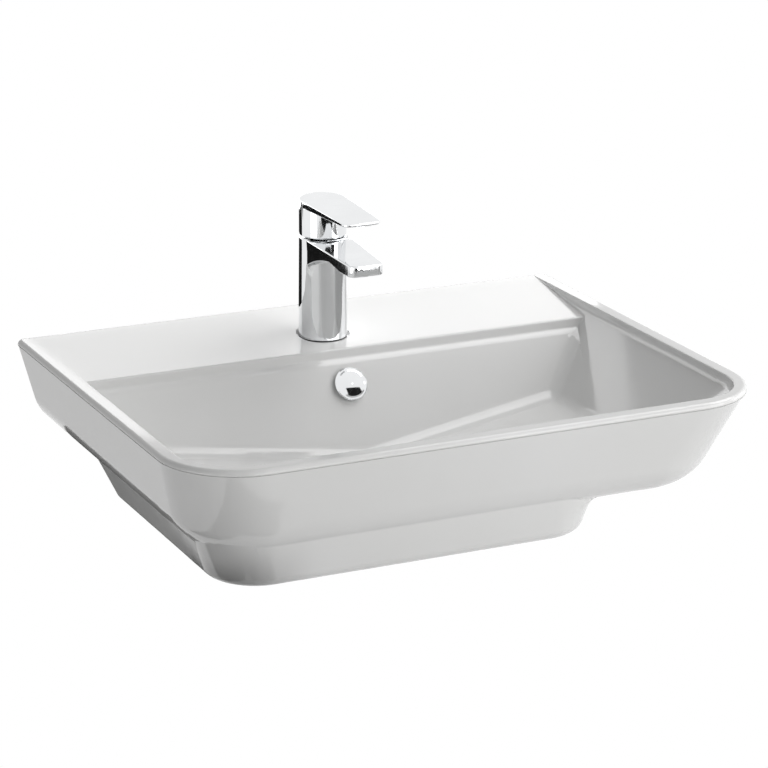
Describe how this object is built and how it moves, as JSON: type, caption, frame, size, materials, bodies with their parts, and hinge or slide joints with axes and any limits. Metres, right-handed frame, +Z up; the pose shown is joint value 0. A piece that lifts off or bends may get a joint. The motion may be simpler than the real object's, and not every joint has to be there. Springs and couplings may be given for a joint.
{
  "type": "semi recessed basin",
  "caption": "Rectangular ceramic semi recessed washbasin with rounded front corners, rear deck, single-lever mixer, covered overflow and push-open waste.",
  "frame": {"origin": "on the wall face, midway between the two wall fixing holes", "axes": "+X to the right of a user facing the basin's back wall, +Y back into the wall, +Z up; the basin's front points along -Y"},
  "size_m": [0.6, 0.47, 0.3055],
  "materials": {
    "glazed_ceramic": "white gloss glaze",
    "chrome": "polished chrome plate",
    "brass": "turned",
    "steel": "stainless",
    "rubber": "matte",
    "grey_plastic": "moulded",
    "white_plastic": "moulded",
    "disc_ceramic": "lapped"
  },
  "bodies": {
    "basin_set": {"basin": "glazed_ceramic", "overflow_sleeve": "grey_plastic", "overflow_cover": "chrome", "waste_top_seal": "rubber", "waste_body": "chrome", "waste_bottom_seal": "rubber", "waste_backnut": "brass", "plug_housing": "white_plastic", "plug_spring": "steel", "mixer_body": "chrome", "mixer_base_seal": "rubber", "aerator_housing": "chrome", "aerator_insert": "grey_plastic", "aerator_seal": "rubber", "cartridge_seals": "rubber", "cartridge_base": "white_plastic", "fixed_disc": "disc_ceramic", "cartridge_housing": "white_plastic", "cartridge_nut": "brass", "fixing_rubber_washer": "rubber", "fixing_plate": "steel", "fixing_stud": "brass", "fixing_nut": "brass"},
    "swivel": {"cartridge_swivel": "grey_plastic", "cartridge_pin": "steel"},
    "disc": {"moving_disc": "disc_ceramic", "disc_carrier": "grey_plastic"},
    "lever": {"lever_handle": "chrome", "lever_stem": "steel", "lever_grub_screw": "steel", "lever_screw_plug": "grey_plastic"},
    "plug": {"waste_plug": "chrome", "plug_seal": "rubber", "plug_stem": "brass"}
  },
  "joints": [
    {"name": "lever_swivel", "type": "hinge", "parent": "basin_set", "child": "swivel", "pos_m": [0, -0.0823, 0.14547], "axis": [0, 0, 1], "range_deg": [-45, 45]},
    {"name": "lever_lift", "type": "hinge", "parent": "swivel", "child": "lever", "pos_m": [0, -0.0823, 0.14547], "axis": [-1, 0, 0], "range_deg": [0, 20]},
    {"name": "disc_slide", "type": "slide", "parent": "swivel", "child": "disc", "axis": [0, -1, 0], "range_m": [0, 0.00705]},
    {"name": "plug_slide", "type": "slide", "parent": "basin_set", "child": "plug", "axis": [0, 0, 1], "range_m": [0, 0.007], "deforming": ["plug_spring"]}
  ],
  "couplings": [
    {"joint": "disc_slide", "follows": "lever_lift", "m_per_rad": 0.020087}
  ]
}
